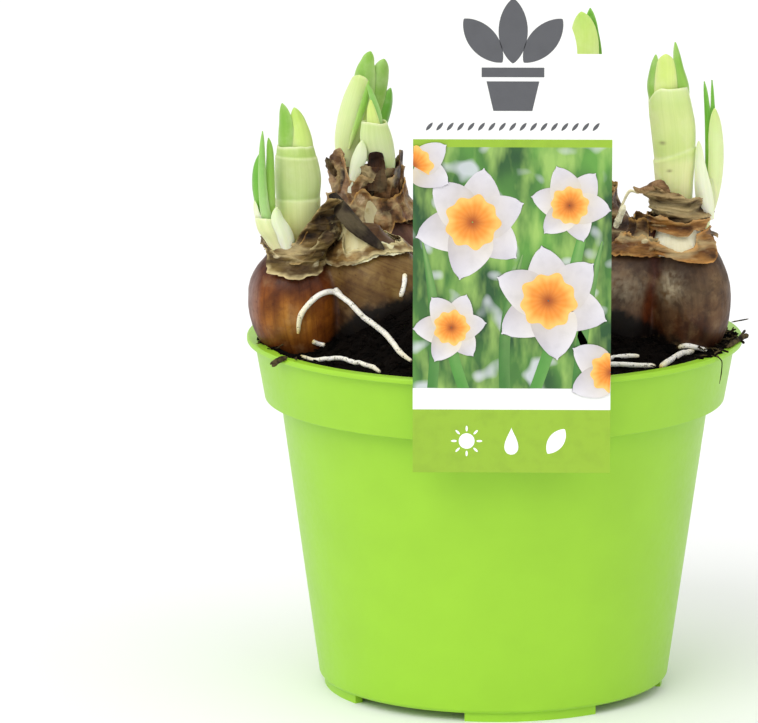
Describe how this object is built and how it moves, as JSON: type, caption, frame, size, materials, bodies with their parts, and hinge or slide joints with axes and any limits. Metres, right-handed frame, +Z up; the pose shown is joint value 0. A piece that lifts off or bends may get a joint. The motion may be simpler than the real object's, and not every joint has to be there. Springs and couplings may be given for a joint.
{
  "type": "potted narcissus bulbs coming into growth",
  "caption": "Lime green plastic pot of narcissus bulbs with short leafy shoots, torn papery skins and loose roots on dark compost, and a printed label card hooked over the rim.",
  "frame": {"origin": "on the pot's upright axis at the ground the pot stands on", "axes": "+Z up, -Y to the front, where the label card hangs, and +X to the right as seen from the front"},
  "size_m": [0.15, 0.151, 0.2229],
  "materials": {
    "pot": "satin",
    "soil": "matte",
    "bulb_amber": "satin",
    "bulb_brown": "satin",
    "tunic": "matte",
    "dry_scale": "matte",
    "sheath": "satin",
    "leaf": "satin",
    "root": "satin",
    "card": "gloss"
  },
  "bodies": {
    "root": {"pot": "pot", "soil": "soil", "bulb_a": "bulb_amber", "bulb_b": "bulb_brown", "bulb_c": "bulb_brown", "bulb_d": "bulb_brown", "leaves_a1": "leaf", "leaves_a2": "leaf", "leaves_b1": "leaf", "leaves_b2": "leaf", "leaves_c1": "leaf", "leaves_c2": "leaf", "leaves_d1": "leaf", "leaves_d2": "leaf", "sheath_a1": "sheath", "sheath_a2": "sheath", "sheath_b1": "sheath", "sheath_b2": "sheath", "sheath_b3": "sheath", "sheath_c1": "sheath", "sheath_c2": "sheath", "sheath_d1": "sheath", "sheath_d2": "sheath", "dry_scale": "dry_scale", "tunic_a": "tunic", "tunic_b": "tunic", "tunic_c": "tunic", "tunic_d": "tunic", "root_arched": "root", "root_rim_left": "root", "root_short_left": "root", "root_upright": "root", "root_arched_right": "root", "root_slanted_right": "root", "root_low_right": "root", "root_high_right": "root", "root_back_left": "root", "root_back_right": "root", "label_card": "card"}
  },
  "joints": []
}
